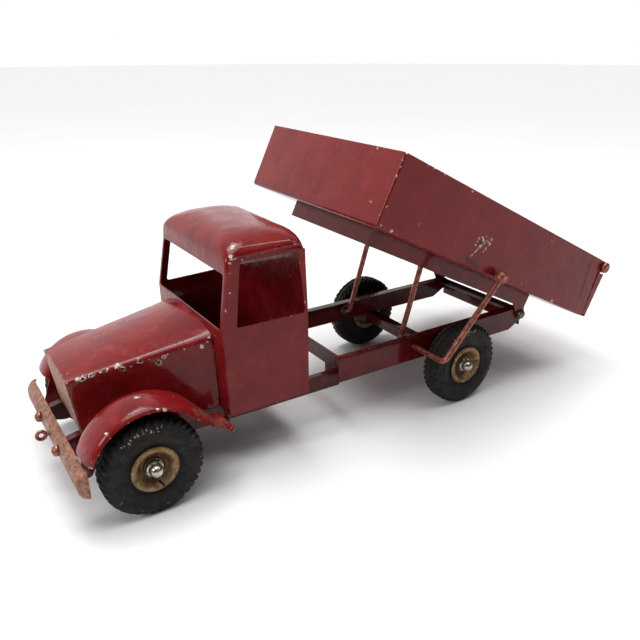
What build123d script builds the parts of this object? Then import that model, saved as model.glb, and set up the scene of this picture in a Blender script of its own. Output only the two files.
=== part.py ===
from build123d import *
import math
import os

# Toy tipping lorry of folded sheet steel. Modelled with x = 0 over the front axle, y = 0 on the
# middle plane and z = 0 on the floor, +X to the front and +Y to the left, then moved so that the
# origin lies on the floor below the centre of the overall box. Millimetres.

# ---- driving dimensions ----
CENTRE_X = -188.44
CENTRE_Y = 3.35
SHEET = 1.0
WHEELBASE = 273.0
AXLE_Z = 35.0
AXLE_R = 2.4
WHEEL_R = 35.0
WHEEL_Y = 70.0
TYRE_BORE_R = 14.6
RIM_R = 16.3
RUN_FIT = 0.08

RAIL_Y = 52.8
RAIL_TOP = 59.4
RAIL_LOW = 39.5
RAIL_FRONT = -160.0
RAIL_REAR = -367.0
FLANGE_W = 7.6
RAIL_T = 1.2

HOUSE_X = 5.0
HOUSE_Y = 56.0
HOUSE_LOW = 30.0

FRAME_Y = 45.0
FRAME_TOP = 46.5
FRAME_LOW = 33.0

CAB_FRONT = -61.5
CAB_REAR = -128.0
CAB_Y = 60.0
CAB_LOW = 44.5
BELT_Z = 109.5
EAVES_Z = 156.0
ROOF_Z = 171.2
ROOF_Y = 57.0
BROW_X = -67.5

HINGE_X = -363.4
HINGE_Z = 53.2
TILT = 26.24
BED_L = 270.0
BED_Y = 88.9
BED_H = 53.4
BED_FRONT = HINGE_X + 231.5
FLOOR_Z = HINGE_Z + 19.0
SUB_Y = 54.3
SUB_D = 12.7
GATE_X = BED_FRONT - 270.5
GATE_Z = FLOOR_Z + 48.3

LEVER_X = -235.5
LEVER_Z = 52.7
LEVER_R = 2.3
ARM_LEFT = 35.5
ARM_RIGHT = -39.5
ARM_L = 67.0
ARM_LEAN = 17.0
HANDLE_Y = 91.0
HANDLE_L = 80.4
KNOB_R = 5.4
HANDLE_LEAN = 38.4


FENDER_OUT = 80.0
FENDER_IN = 52.0
FENDER_CX = 0.5
FENDER_CZ = 37.0
LEFT_FENDER = (45.0, 20.0, 21.0)
RIGHT_FENDER = (41.5, 26.0, 18.5)
FENDER_END = 137.0
FENDER_SWEEP = 10.0
FENDER_FLAT = 98.0


# ---- small helpers ----
def box(x0, x1, y0, y1, z0, z1):
    """Block between opposite corners."""
    return Pos((x0 + x1) / 2, (y0 + y1) / 2, (z0 + z1) / 2) * Box(x1 - x0, y1 - y0, z1 - z0)


def rod_y(x, z, r, y0, y1):
    """Round bar along Y."""
    return Pos(x, (y0 + y1) / 2, z) * Rot(90, 0, 0) * Cylinder(r, y1 - y0)


def rod_x(y, z, r, x0, x1):
    """Round bar along X."""
    return Pos((x0 + x1) / 2, y, z) * Rot(0, 90, 0) * Cylinder(r, x1 - x0)


def slab_xz(points, y0, y1):
    """Side-view outline given a thickness along Y."""
    wire = Polyline(*[(x, y0, z) for x, z in points], close=True)
    return extrude(make_face(wire), amount=y1 - y0, dir=(0, 1, 0))


def slab_yz(points, x0, x1):
    """Front-view outline given a thickness along X."""
    wire = Polyline(*[(x0, y, z) for y, z in points], close=True)
    return extrude(make_face(wire), amount=x1 - x0, dir=(1, 0, 0))


def turned_y(profile, x, y, z, face=1):
    """Turned piece about a Y axis from (radius, distance) pairs, outward side facing +Y or -Y."""
    wire = Polyline(*[(r, d, 0) for r, d in profile], close=True)
    body = revolve(make_face(wire), axis=Axis.Y)
    if face < 0:
        body = Rot(180, 0, 0) * body
    return Pos(x, y, z) * body


def bent_rod(points, r, bend):
    """Round rod bent along a chain of points."""
    path = FilletPolyline(*points, radius=bend)
    return sweep((path ^ 0) * Circle(r), path=path)


def mirrored(part):
    return mirror(part, about=Plane.XZ)


def fold_up(part):
    """Turn a lowered bed piece to the raised position about the hinge."""
    return Pos(HINGE_X, 0, HINGE_Z) * Rot(0, -TILT, 0) * Pos(-HINGE_X, 0, -HINGE_Z) * part


# ---- chassis ----
def front_frame():
    """Low channel under cab and hood that narrows into two bumper horns."""
    plan = [(-166, FRAME_Y), (14, FRAME_Y), (24, 29), (24, -29), (14, -FRAME_Y), (-166, -FRAME_Y)]
    face = make_face(Polyline(*[(x, y, FRAME_LOW) for x, y in plan], close=True))
    body = extrude(face, amount=FRAME_TOP - FRAME_LOW, dir=(0, 0, 1))
    inner = [(-170, 43.8), (13.3, 43.8), (22.8, 28.6), (22.8, -28.6), (13.3, -43.8), (-170, -43.8)]
    face = make_face(Polyline(*[(x, y, 30) for x, y in inner], close=True))
    body -= extrude(face, amount=FRAME_TOP - RAIL_T - 30, dir=(0, 0, 1))
    side = [(20, 34), (24, FRAME_LOW), (30, 29.2), (35, 30), (45.3, 33.5), (45.3, 41.5)]
    side += [(43.2, 43.9), (41.2, 44.9), (34, FRAME_TOP), (20, FRAME_TOP)]
    for s in (1, -1):
        horn = slab_xz(side, 22.6, 29.0)
        pocket = [(18, 20), (44.1, 20), (44.1, 41.0), (42.4, 42.8), (40.7, 43.8), (33, 45.3), (18, 45.3)]
        horn -= slab_xz(pocket, 22.6, 27.8)
        horn -= rod_x(26, 38, 1.65, 40, 50)
        horn -= box(40.9, 44.1, 27.7, 29.2, 34.7, 41.3)
        if s < 0:
            horn = mirrored(horn)
        body += horn
    body -= box(-170, -131, -40.8, 40.8, 44, 48)
    for s in (1, -1):
        body -= rod_y(0, AXLE_Z, AXLE_R + 0.05, s * 44.4 - 2, s * 44.4 + 2)
    return body


def rail():
    """Left rear rail: outer web with an inward top flange and a chamfered rear end."""
    side = [(RAIL_FRONT, RAIL_LOW), (RAIL_FRONT, RAIL_TOP), (RAIL_REAR + 4, RAIL_TOP), (RAIL_REAR, 55.0)]
    side += [(RAIL_REAR, 47.2), (-352, RAIL_LOW)]
    body = slab_xz(side, RAIL_Y - RAIL_T, RAIL_Y)
    flange = box(RAIL_REAR + 4, RAIL_FRONT, RAIL_Y - FLANGE_W, RAIL_Y, RAIL_TOP - RAIL_T, RAIL_TOP)
    body += flange
    body = fillet(body.edges().filter_by(Axis.X).group_by(Axis.Z)[-1].sort_by(Axis.Y)[-1:], 1.0)
    body -= rod_y(HINGE_X, HINGE_Z, 2.05, 50, 54)
    body -= rod_y(LEVER_X, LEVER_Z, LEVER_R + RUN_FIT, 50, 54)
    return body


def front_cross_member():
    """Plate across the front of the rear frame with two tabs down inside the front frame."""
    body = box(-164.6, -163.4, -45.1, 45.1, FRAME_TOP, RAIL_TOP)
    body += box(-164.6, -163.4, -51.5, 51.5, FRAME_TOP, RAIL_TOP - RAIL_T - 0.1)
    for s in (1, -1):
        y0, y1 = (28.0, 40.7) if s > 0 else (-40.7, -28.0)
        body += box(-164.6, -163.4, y0, y1, 36.0, FRAME_TOP)
    return body


def rear_cross_member():
    body = box(-366.9, -365.7, -51.5, 51.5, 41.0, 57.0)
    return body


def rear_axle_housing():
    """Inverted channel under the rails with closed ends that carry the rear axle."""
    x0, x1 = -WHEELBASE - HOUSE_X, -WHEELBASE + HOUSE_X
    body = box(x0, x1, -HOUSE_Y, HOUSE_Y, HOUSE_LOW, RAIL_LOW)
    ridge = body.edges().filter_by(Axis.Y).group_by(Axis.Z)[-1]
    body = fillet(ridge, 1.2)
    body -= box(x0 + RAIL_T, x1 - RAIL_T, -HOUSE_Y + RAIL_T, HOUSE_Y - RAIL_T, 20, RAIL_LOW - RAIL_T)
    for s in (1, -1):
        body -= rod_y(-WHEELBASE, AXLE_Z, AXLE_R + 0.05, s * HOUSE_Y - 3, s * HOUSE_Y + 3)
    return body


def axle_bracket(x, y, top):
    """Pair of upright plates that carry an axle."""
    side = [(x - 9, top), (x + 9, top), (x + 5.5, AXLE_Z - 3), (x + 3, AXLE_Z - 6)]
    side += [(x - 3, AXLE_Z - 6), (x - 5.5, AXLE_Z - 3)]
    body = slab_xz(side, y - 1.2, y)
    body -= rod_y(x, AXLE_Z, AXLE_R + 0.05, y - 3, y + 2)
    return Compound(children=[body, mirrored(body)])


def axle(x):
    return rod_y(x, AXLE_Z, AXLE_R, -80.5, 80.5)


def axle_cap():
    """Dome cap pressed on an axle end."""
    dome = [(2.45, 76.6), (5.6, 76.6), (5.6, 77.4), (4.75, 77.8), (4.75, 79.4)]
    dome += [(4.6, 80.6), (4.1, 82.0), (3.3, 83.1), (2.2, 83.9), (1.0, 84.3), (0.0, 84.4)]
    dome += [(0.0, 80.6), (2.45, 80.6)]
    return dome


def axle_caps():
    caps = []
    for x in (0.0, -WHEELBASE):
        for s in (1, -1):
            caps.append(turned_y(axle_cap(), x, 0, AXLE_Z, s))
    return Compound(children=caps)


def axle_collars():
    """Washers between the axle brackets and the hubs."""
    rings = []
    for x in (0.0, -WHEELBASE):
        ring = [(AXLE_R + 0.05, 61.0), (5.0, 61.0), (5.0, 62.2), (AXLE_R + 0.05, 62.2)]
        for s in (1, -1):
            rings.append(turned_y(ring, x, 0, AXLE_Z, s))
    return Compound(children=rings)


def hinge_rod():
    """Plain rod with peened heads outside the bed lugs."""
    body = rod_y(HINGE_X, HINGE_Z, 2.0, -57.0, 57.0)
    for s in (1, -1):
        head = [(0, 54.6), (4.0, 54.6), (4.2, 55.6), (3.7, 57.0), (2.4, 58.0), (0, 58.3)]
        body += turned_y(head, HINGE_X, 0, HINGE_Z, s)
    return body


# ---- bumper ----
def bumper_profile(x_axis):
    """Curved bar section as (distance from x_axis, height) pairs, outer side then inner side."""
    outer = [(42.0, 46.5), (44.6, 45.6), (46.6, 43.4), (48.0, 40.5), (48.5, 37.5), (48.3, 33.4), (47.4, 29.9), (46.2, 27.6)]
    inner = [(45.1, 28.3), (46.2, 30.5), (47.0, 33.8), (47.2, 37.6), (46.5, 40.2), (45.2, 42.7), (43.7, 44.3), (41.6, 45.2)]
    return [(x - x_axis, z) for x, z in outer + inner]


def bumper():
    """Bar across the horns with its ends turned back."""
    x_axis = 40.3
    half = 69.5
    section = [(x_axis + d, z) for d, z in bumper_profile(x_axis)]
    body = slab_xz(section, -half, half)
    wire = Polyline(*[(d, 0, z) for d, z in bumper_profile(x_axis)], close=True)
    end = Pos(x_axis, half, 0) * revolve(make_face(wire), axis=Axis.Z, revolution_arc=82)
    body += end
    body += mirrored(end)
    for y in (26.0, -26.0):
        body -= rod_x(y, 38, 1.65, 40, 52)
    body -= rod_x(0, 37.5, 1.45, 40, 52)
    return body


def bumper_bolts():
    parts = []
    for y in (26.0, -26.0):
        head = [(0, 0), (3.9, 0), (3.8, 1.3), (3.2, 2.6), (2.2, 3.4), (1.0, 3.8), (0, 3.9)]
        face = make_face(Polyline(*[(r, d, 0) for r, d in head], close=True))
        dome = Rot(0, 0, -90) * revolve(face, axis=Axis.Y)
        bolt = Pos(48.55, y, 38) * dome + rod_x(y, 38, 1.6, 39.5, 48.6)
        parts.append(bolt)
    return Compound(children=parts)


def bumper_nuts():
    parts = []
    for y in (26.0, -26.0):
        nut = Pos(42.7, y, 38) * Rot(0, 90, 0) * extrude(RegularPolygon(3.1, 6), amount=2.6, both=False)
        nut = Pos(-1.3, 0, 0) * nut
        nut -= rod_x(y, 38, 1.62, 38, 48)
        parts.append(nut)
    return Compound(children=parts)


def tow_eye():
    """Split ring with a round shank through the bumper."""
    ring = Pos(53.4, 0, 37.5) * Rot(90, 0, 0) * Torus(2.95, 1.3)
    ring -= Pos(50.9, 0, 40.1) * Rot(0, 45, 0) * Box(3.4, 4, 0.7)
    shank = rod_x(0, 37.5, 1.4, 41.0, 50.8)
    tail = Pos(41.0, 0, 37.5) * Sphere(1.4)
    return ring + shank + tail


# ---- hood, grille, cab ----
def hood_section(front, shrink):
    """Outline of the hood at its front or rear end."""
    if front:
        half_low, half, crease, crown, slope = 30.0, 30.4, 87.2, 89.6, 0.134
        x0 = 36.7 if shrink == 0 else 41.0
    else:
        half_low, half, crease, crown, slope = 47.5, 43.2, 100.2, 108.8, 0.0
        x0 = -60.65 if shrink == 0 else -66.0
    low = 47.6 if shrink == 0 else 40.0

    def pt(y, z):
        return (x0 + slope * (z - crease), y, z)

    half_low -= shrink
    half -= shrink
    crease -= shrink
    crown -= shrink
    shoulder = half - 4.0
    lift = 0.9 if front else 2.4
    left = Line(pt(half_low, low), pt(half, crease - 1.6))
    turn_l = ThreePointArc(pt(half, crease - 1.6), pt(half - 0.8, crease - 0.1), pt(shoulder, crease + lift))
    arch = ThreePointArc(pt(shoulder, crease + lift), pt(0, crown), pt(-shoulder, crease + lift))
    turn_r = ThreePointArc(pt(-shoulder, crease + lift), pt(-half + 0.8, crease - 0.1), pt(-half, crease - 1.6))
    right = Line(pt(-half, crease - 1.6), pt(-half_low, low))
    base = Line(pt(-half_low, low), pt(half_low, low))
    return make_face([left, turn_l, arch, turn_r, right, base])


def hood():
    outer = loft([hood_section(True, 0), hood_section(False, 0)], ruled=True)
    inner = loft([hood_section(True, SHEET), hood_section(False, SHEET)], ruled=True)
    return outer - inner


def grille_panel():
    """Front closing panel, leaning back towards its lower edge."""
    return extrude(hood_section(True, 0), amount=SHEET, dir=(1, 0, 0))


def cab_level(x_front, x_rear, half, z, r):
    """Plan of the cab at one height, with its front corners rounded."""
    q = r * (1 - math.sqrt(0.5))
    left = Line((x_rear, half, z), (x_front - r, half, z))
    turn_l = ThreePointArc((x_front - r, half, z), (x_front - q, half - q, z), (x_front, half - r, z))
    front = Line((x_front, half - r, z), (x_front, -half + r, z))
    turn_r = ThreePointArc((x_front, -half + r, z), (x_front - q, -half + q, z), (x_front - r, -half, z))
    right = Line((x_front - r, -half, z), (x_rear, -half, z))
    back = Line((x_rear, -half, z), (x_rear, half, z))
    return make_face([left, turn_l, front, turn_r, right, back])


def cab_outer(grow):
    """Solid outline of the cab below the roof: straight lower half, raked upper half."""
    x_rear = CAB_REAR if grow == 0 else CAB_REAR - 5
    low = CAB_LOW if grow == 0 else CAB_LOW - 5
    r = 2.4 + grow
    foot = cab_level(CAB_FRONT + grow, x_rear, CAB_Y + grow, low, r)
    belt = cab_level(CAB_FRONT + 0.8 + grow, x_rear, CAB_Y + grow, BELT_Z, r)
    brow = cab_level(BROW_X + 0.6 + grow, x_rear, 57.4 + grow, 147.0, r + 0.3)
    eaves = cab_level(BROW_X + grow, x_rear, ROOF_Y + grow, EAVES_Z, r + 0.6)
    return loft([foot, belt], ruled=True) + loft([belt, brow], ruled=True) + loft([brow, eaves], ruled=True)


def roof_level(turn, grow):
    """Plan of the domed roof; turn is 0 at the eaves and 90 degrees at the crown."""
    sweep_in = 1 - math.cos(math.radians(turn))
    height = math.sin(math.radians(turn)) ** 0.88
    z = EAVES_Z + (ROOF_Z - EAVES_Z + grow) * height
    x_front = BROW_X + grow - 22.0 * sweep_in
    x_rear = CAB_REAR - grow + 30.0 * sweep_in ** 1.8
    half = ROOF_Y + grow - 27.0 * sweep_in
    r = min(3.0 + grow + 14.0 * height, 0.46 * (x_front - x_rear))
    q = r * (1 - math.sqrt(0.5))
    rear_l = ThreePointArc((x_rear, half - r, z), (x_rear + q, half - q, z), (x_rear + r, half, z))
    left = Line((x_rear + r, half, z), (x_front - r, half, z))
    front_l = ThreePointArc((x_front - r, half, z), (x_front - q, half - q, z), (x_front, half - r, z))
    front = Line((x_front, half - r, z), (x_front, -half + r, z))
    front_r = ThreePointArc((x_front, -half + r, z), (x_front - q, -half + q, z), (x_front - r, -half, z))
    right = Line((x_front - r, -half, z), (x_rear + r, -half, z))
    rear_r = ThreePointArc((x_rear + r, -half, z), (x_rear + q, -half + q, z), (x_rear, -half + r, z))
    back = Line((x_rear, -half + r, z), (x_rear, half - r, z))
    return make_face([rear_l, left, front_l, front, front_r, right, rear_r, back])


def roof_outer(grow):
    """Solid outline of the domed roof, built up in level bands."""
    turns = [0, 6, 13, 21, 30, 40, 50, 60, 70, 80, 90]
    return loft([roof_level(turn, grow) for turn in turns], ruled=True)


def cab_shell():
    """Front, sides and roof of the cab in one pressed shell, open at the back and below."""
    body = cab_outer(0) + roof_outer(0)
    body -= cab_outer(-SHEET)
    body -= roof_outer(-SHEET)
    body -= box(-140, CAB_FRONT + 5, -CAB_Y + 1, CAB_Y - 1, 40, FRAME_TOP)
    screen = [(-55.6, BELT_Z), (55.6, BELT_Z), (53.0, 147.2), (-53.0, 147.2)]
    cut = slab_yz(screen, -90, -50)
    cut = fillet(cut.edges().filter_by(Axis.X), 2.5)
    body -= cut
    near = slab_xz([(-71.5, 110.2), (-77.6, 155.0), (-122.3, 155.0), (-126.2, 109.8)], 0, 70)
    far = slab_xz([(-67.8, 110.4), (-75.2, 155.0), (-122.3, 155.0), (-126.2, 112.4)], -70, 0)
    body -= fillet(near.edges().filter_by(Axis.Y), 2.0)
    body -= fillet(far.edges().filter_by(Axis.Y), 2.0)
    for s in (1, -1):
        y0, y1 = (55.4, 57.8) if s > 0 else (-57.8, -55.4)
        seam = slab_xz([(-73.5, 157.6), (-73.5, 158.8), (-124.6, 160.35), (-124.6, 159.15)], y0, y1)
        body += seam
    return body


def cab_back():
    """Plain panel that closes the back of the cab."""
    plate = box(CAB_REAR, CAB_REAR + SHEET, -70, 70, FRAME_TOP + 0.1, ROOF_Z + 2)
    shell = cab_outer(-SHEET - 0.02) + roof_outer(-SHEET - 0.02)
    return plate & shell


# ---- fenders ----
def fender_section(along, turn):
    """Crowned cross-section of the fender, standing square to the crown line at one point of it."""
    px, pz = along
    nx, nz = math.cos(math.radians(turn)), math.sin(math.radians(turn))

    def pt(y, drop):
        return (px - drop * nx, y, pz - drop * nz)

    outer = [(FENDER_IN, 3.4), (53.6, 1.6), (55.2, 0.85), (57.0, 0.35), (59.0, 0.1), (61.0, 0), (65.0, 0.05)]
    outer += [(68.0, 0.25), (71.0, 0.6), (74.0, 1.15), (76.2, 1.8), (77.8, 2.5), (79.2, 3.6), (FENDER_OUT, 5.0)]
    inner = [(FENDER_OUT - 1.0, 5.0), (78.3, 4.2), (77.0, 3.35), (75.7, 2.85), (73.7, 2.2), (70.8, 1.6), (68.0, 1.25)]
    inner += [(65.0, 1.05), (61.0, 1.0), (59.1, 1.1), (57.3, 1.35), (55.7, 1.85), (54.5, 2.5), (53.2, 3.9)]
    inner += [(53.2, 4.6), (FENDER_IN, 4.6)]
    return make_face(Polyline(*[pt(y, drop) for y, drop in outer + inner], close=True))


def arch_point(r, turn):
    """Point on a circle about the fender's centre, in side view."""
    a = math.radians(turn)
    return FENDER_CX + r * math.cos(a), FENDER_CZ + r * math.sin(a)


def fender(r, first, fall):
    """Front fender on the left: crowned arch, straight fall, reversed curve, rolled end and inner walls."""
    start = fender_section(arch_point(r, first), first)
    hub = Axis((FENDER_CX, 0, FENDER_CZ), (0, -1, 0))
    body = revolve(start, axis=hub, revolution_arc=FENDER_END - first)
    x1, z1 = arch_point(r, FENDER_END)
    tx, tz = -math.sin(math.radians(FENDER_END)), math.cos(math.radians(FENDER_END))
    body += extrude(fender_section((x1, z1), FENDER_END), amount=fall, dir=(tx, 0, tz))
    x2, z2 = x1 + fall * tx, z1 + fall * tz
    x3 = x2 + FENDER_SWEEP * math.cos(math.radians(FENDER_END))
    z3 = z2 + FENDER_SWEEP * math.sin(math.radians(FENDER_END))
    curve = fender_section((x2, z2), FENDER_END)
    body += revolve(curve, axis=Axis((x3, 0, z3), (0, 1, 0)), revolution_arc=FENDER_END - FENDER_FLAT)
    a = math.radians(FENDER_FLAT)
    x4, z4 = x3 - FENDER_SWEEP * math.cos(a), z3 - FENDER_SWEEP * math.sin(a)
    trim = [(x1 + 3.7, z1 - 3.5), (x2 + 1.9, z2 - 1.8), (x4 - 0.2, z4 - 2.6), (x4 - 9, z4 - 3.0)]
    body -= slab_xz(trim + [(x4 - 9, 30), (x1 + 8, 30)], 60.0, FENDER_OUT + 1)
    roll_x, roll_z = x4 - 1.9, z4 - 2.2
    body += slab_xz([(x4 + 0.3, z4), (x4 - 1.9, z4 - 0.3), (x4 - 1.9, z4 - 1.2), (x4 + 0.3, z4 - 1.0)], 60.0, 74.0)
    body += rod_y(roll_x, roll_z, 1.9, 58.0, FENDER_OUT)
    body -= rod_y(roll_x, roll_z, 0.9, 50.0, FENDER_OUT + 1)
    outline = [arch_point(r - 3.85, first + 4 + k * (FENDER_END - first - 6) / 14) for k in range(15)]
    outline += [(x1 + 2.6, z1 - 2.5), (x2 + 2.6, z2 - 2.5)]
    outline += [(-43.0, 46.6), (24.0, 46.6), (28.0, 43.0), (32.0, 32.0), (34.5, 28.0), (37.8, 27.4), (40.5, 34.0)]
    body += slab_xz(outline, FENDER_IN, FENDER_IN + SHEET)
    web = [(-50.0, FENDER_IN + 1), (27.0, FENDER_IN + 1), (27.0, 30.5), (14.0, 34.0), (-50.0, 45.8)]
    face = make_face(Polyline(*[(x, y, FRAME_TOP) for x, y in web], close=True))
    body += extrude(face, amount=SHEET, dir=(0, 0, 1))
    return body


def step_bracket(shift):
    """Small curved strap from the stub up to the cab's lower edge."""
    pts = [(-60.7, 49.0), (-61.0, 45.0), (-60.3, 42.6), (-58.4, 41.1), (-56.0, 40.8)]
    low = [(-56.1, 41.8), (-57.9, 42.1), (-59.3, 43.2), (-59.9, 45.0), (-59.6, 49.0)]
    return slab_xz([(x + shift, z) for x, z in pts + low], 56.0, 63.0)


# ---- wheels ----
def tyre(x, s):
    """Treaded tyre with scalloped shoulders."""
    half = [(TYRE_BORE_R, 7.0), (17.6, 7.0), (19.0, 7.9), (22.5, 9.1), (26.5, 9.4), (29.5, 9.0), (32.2, 8.0), (33.6, 7.2)]
    half += [(34.6, 5.6), (35.0, 4.4), (35.0, 3.1), (34.3, 2.9), (34.3, 1.9), (35.0, 1.7)]
    prof = half + [(r, -d) for r, d in half[::-1]]
    body = turned_y(prof, 0, 0, 0, 1)
    cuts = []
    for k in range(40):
        for side in (1, -1):
            a = 9.0 * k + (4.5 if side < 0 else 0.0)
            tooth = Rot(0, a, 0) * Pos(36.0, side * 7.9, 0) * Rot(0, 0, side * 38) * Box(5.2, 1.9, 2.1)
            cuts.append(tooth)
    body -= cuts
    return Pos(x, s * WHEEL_Y, AXLE_Z) * body


def hub_outer(x, s):
    """Outer dished disc of the wheel, rolled rim lapping the tyre."""
    prof = [(AXLE_R + RUN_FIT, 4.6), (6.2, 4.6), (6.8, 3.2), (8.6, 2.4), (10.6, 3.4), (12.4, 6.4), (13.4, 7.4)]
    prof += [(14.4, 7.05), (16.0, 7.05), (RIM_R, 7.6), (16.1, 8.5), (15.3, 9.0), (14.2, 9.1), (12.9, 8.7)]
    prof += [(11.6, 7.4), (9.9, 4.6), (8.5, 3.5), (7.3, 4.2), (6.7, 5.6), (AXLE_R + RUN_FIT, 5.6)]
    return turned_y(prof, x, s * WHEEL_Y, AXLE_Z, s)


def hub_inner(x, s):
    """Inner disc with the bearing sleeve."""
    prof = [(AXLE_R + RUN_FIT, 4.5), (4.6, 4.5), (4.6, -4.8), (9.5, -4.8), (12.4, -7.8), (14.4, -7.05)]
    prof += [(16.0, -7.05), (RIM_R, -7.5), (16.1, -8.3), (15.2, -8.8), (12.2, -8.8), (9.1, -5.8)]
    prof += [(AXLE_R + RUN_FIT, -5.8)]
    return turned_y(prof, x, s * WHEEL_Y, AXLE_Z, s)


# ---- bed ----
def bed_tray():
    """Open tray: floor, front and two sides."""
    rear = BED_FRONT - BED_L
    top = FLOOR_Z + BED_H
    body = box(rear, BED_FRONT, -BED_Y, BED_Y, FLOOR_Z, top)
    uprights = body.edges().filter_by(Axis.Z).group_by(Axis.X)[-1]
    body = fillet(uprights, 2.0)
    lower = body.faces().sort_by(Axis.Z)[0].edges()
    body = fillet([e for e in lower if e.center().X > rear + 1], 2.4)
    hollow = box(rear - 9, BED_FRONT - SHEET, -BED_Y + SHEET, BED_Y - SHEET, FLOOR_Z + SHEET, top + 9)
    uprights = hollow.edges().filter_by(Axis.Z).group_by(Axis.X)[-1]
    hollow = fillet(uprights, 1.0)
    lower = hollow.faces().sort_by(Axis.Z)[0].edges()
    hollow = fillet([e for e in lower if e.center().X > rear - 8], 1.4)
    body -= hollow
    cut = slab_xz([(rear - 1, FLOOR_Z + 2), (rear, FLOOR_Z + 2), (rear + 8, top + 1), (rear - 1, top + 1)], -100, 100)
    body -= cut
    heel = [(rear - 1, FLOOR_Z - 1), (rear + 5.0, FLOOR_Z - 1), (rear + 5.0, FLOOR_Z), (rear + 3.1, FLOOR_Z + 0.4)]
    heel += [(rear + 1.5, FLOOR_Z + 1.5), (rear + 0.4, FLOOR_Z + 3.1), (rear, FLOOR_Z + 5.0), (rear - 1, FLOOR_Z + 5.0)]
    for s in (1, -1):
        y0, y1 = (BED_Y - SHEET, BED_Y + 1) if s > 0 else (-BED_Y - 1, -BED_Y + SHEET)
        body -= slab_xz(heel, y0, y1)
        dip = [(s * (BED_Y - 2.4), top + 1), (s * (BED_Y + 1), top + 1), (s * (BED_Y + 1), top - 3.2)]
        body -= slab_yz(dip, BED_FRONT - 2.4, BED_FRONT + 1)
        y0, y1 = (BED_Y - SHEET, BED_Y) if s > 0 else (-BED_Y, -BED_Y + SHEET)
        ear = rod_y(GATE_X, GATE_Z, 5.0, y0, y1)
        ear += box(GATE_X, rear + 10, y0, y1, GATE_Z - 5.0, GATE_Z + 5.0)
        body += ear
        body -= rod_y(GATE_X, GATE_Z, 2.05, y0 - 1, y1 + 1)
    return body


def bed_subframe():
    """Inverted tray under the floor, narrower than the bed, with lugs round the hinge rod."""
    front = BED_FRONT - 27.1
    rear = BED_FRONT - 233.0
    low = FLOOR_Z - SUB_D
    body = box(front - 1.2, front, -SUB_Y, SUB_Y, low, FLOOR_Z)
    body += box(rear, rear + 1.2, -SUB_Y, SUB_Y, low, FLOOR_Z)
    for s in (1, -1):
        y0, y1 = (SUB_Y - 1.2, SUB_Y) if s > 0 else (-SUB_Y, -SUB_Y + 1.2)
        body += box(rear, front, y0, y1, low, FLOOR_Z)
        f0, f1 = (SUB_Y - 9.0, SUB_Y) if s > 0 else (-SUB_Y, -SUB_Y + 9.0)
        body += box(rear, front, f0, f1, FLOOR_Z - SHEET, FLOOR_Z)
        lug = rod_y(HINGE_X, HINGE_Z, 5.2, y0, y1)
        lug += slab_xz([(HINGE_X - 5.0, HINGE_Z + 1), (HINGE_X - 1.6, low + 1), (HINGE_X + 16, low + 1),
                        (HINGE_X + 4.8, HINGE_Z - 2)], y0, y1)
        body += lug
    body += box(front - 9.0, front, -SUB_Y, SUB_Y, FLOOR_Z - SHEET, FLOOR_Z)
    for s in (1, -1):
        body -= rod_y(HINGE_X, HINGE_Z, 2.0 + RUN_FIT, s * 54 - 3, s * 54 + 3)
    return body


def bed_saddle():
    """Folded cleat under the floor that bears on the lift rod when the bed is up."""
    lean = math.radians(ARM_LEAN)
    dx = LEVER_X - HINGE_X - ARM_L * math.sin(lean)
    dz = LEVER_Z - HINGE_Z + ARM_L * math.cos(lean)
    t = math.radians(TILT)
    bar_x = HINGE_X + dx * math.cos(t) + dz * math.sin(t)
    bar_z = HINGE_Z - dx * math.sin(t) + dz * math.cos(t)
    foot = bar_z + LEVER_R + 0.3
    side = [(bar_x - 14, FLOOR_Z), (bar_x - 14, FLOOR_Z - 1.2), (bar_x - 7.2, FLOOR_Z - 1.2)]
    side += [(bar_x - 7.2, foot - 2.6), (bar_x - 6.0, foot - 2.6), (bar_x - 6.0, foot)]
    side += [(bar_x, foot), (bar_x, foot + 1.2), (bar_x - 6.0, foot + 1.2), (bar_x - 6.0, FLOOR_Z)]
    return slab_xz(side, -24, 24)


def gate_rod():
    """Rod through the bed ears with peened knobs."""
    body = rod_y(GATE_X, GATE_Z, 2.0, -89.5, 89.5)
    for s in (1, -1):
        knob = [(0, 89.0), (3.4, 89.0), (4.7, 89.8), (5.0, 91.0), (4.5, 92.2), (3.0, 93.1), (0, 93.4)]
        body += turned_y(knob, GATE_X, 0, GATE_Z, s)
    return body


def tailgate():
    """Hanging end plate with side flanges and a curled top round its rod."""
    x0 = BED_FRONT - 276.0
    x1 = x0 + SHEET
    top = GATE_Z + 3.3
    body = box(x0, x1, -88.4, 88.4, FLOOR_Z + 0.6, top)
    for s in (1, -1):
        y0, y1 = (87.4, 88.4) if s > 0 else (-88.4, -87.4)
        body += slab_xz([(x0, FLOOR_Z + 0.6), (x0 + 4.6, FLOOR_Z + 3.2), (x0 + 8.0, GATE_Z - 6.6),
                         (x0, GATE_Z - 6.6)], y0, y1)
    body += box(x0, GATE_X, -84, 84, top - SHEET, top)
    curl = rod_y(GATE_X, GATE_Z, 3.3, -84, 84) - rod_y(GATE_X, GATE_Z, 2.0 + RUN_FIT, -90, 90)
    body += curl
    corner = box(x0 - 1, x1 + 9, -90, -84.6, top - 9, top + 1) + box(x0 - 1, x1 + 9, 84.6, 90, top - 9, top + 1)
    body -= corner
    body -= rod_y(GATE_X, GATE_Z, 2.0 + RUN_FIT, -90, 90)
    body = fillet(body.edges().filter_by(Axis.X).group_by(Axis.Z)[0], 0.4)
    return body


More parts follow.
